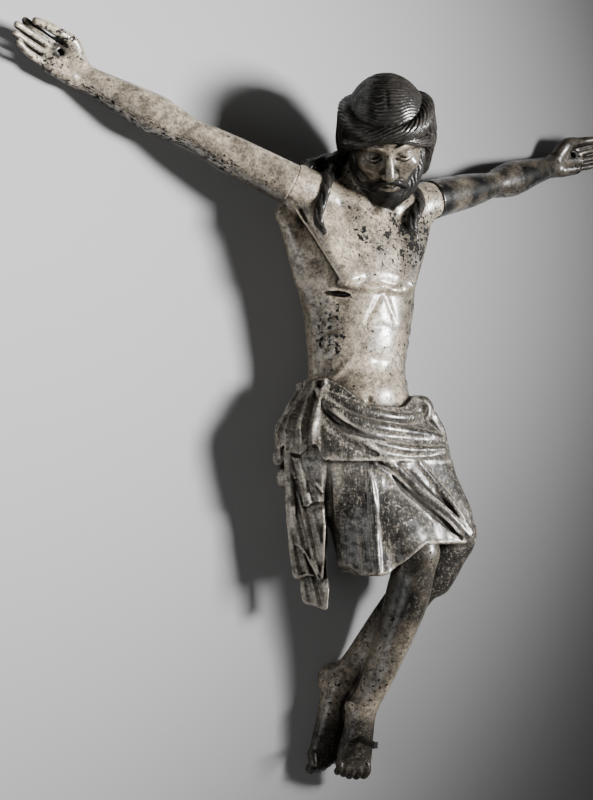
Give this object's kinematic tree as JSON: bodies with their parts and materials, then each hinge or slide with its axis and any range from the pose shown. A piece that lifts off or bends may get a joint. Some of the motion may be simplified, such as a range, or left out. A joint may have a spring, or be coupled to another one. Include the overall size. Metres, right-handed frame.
{
  "type": "crucifix corpus figure",
  "caption": "Carved wooden man with outstretched arms, bowed bearded head, pleated loincloth and crossed feet on a nail, made to hang on a cross; lies on its back.",
  "frame": {"origin": "under the middle of the whole figure's bounding box, on the floor that its back lies on", "axes": "+Y from the feet towards the head, +Z out of the chest, away from the floor, +X towards the figure's own left hand"},
  "size_m": [1.483, 1.489, 0.3087],
  "materials": {
    "trunk": "worn, chipped paint over wood",
    "right_arm": "worn, chipped paint over wood",
    "left_arm": "worn, chipped paint over wood",
    "foot_nail": "dark forged iron"
  },
  "bodies": {
    "root": {"trunk": "trunk", "right_arm": "right_arm", "left_arm": "left_arm", "foot_nail": "foot_nail"}
  },
  "joints": []
}
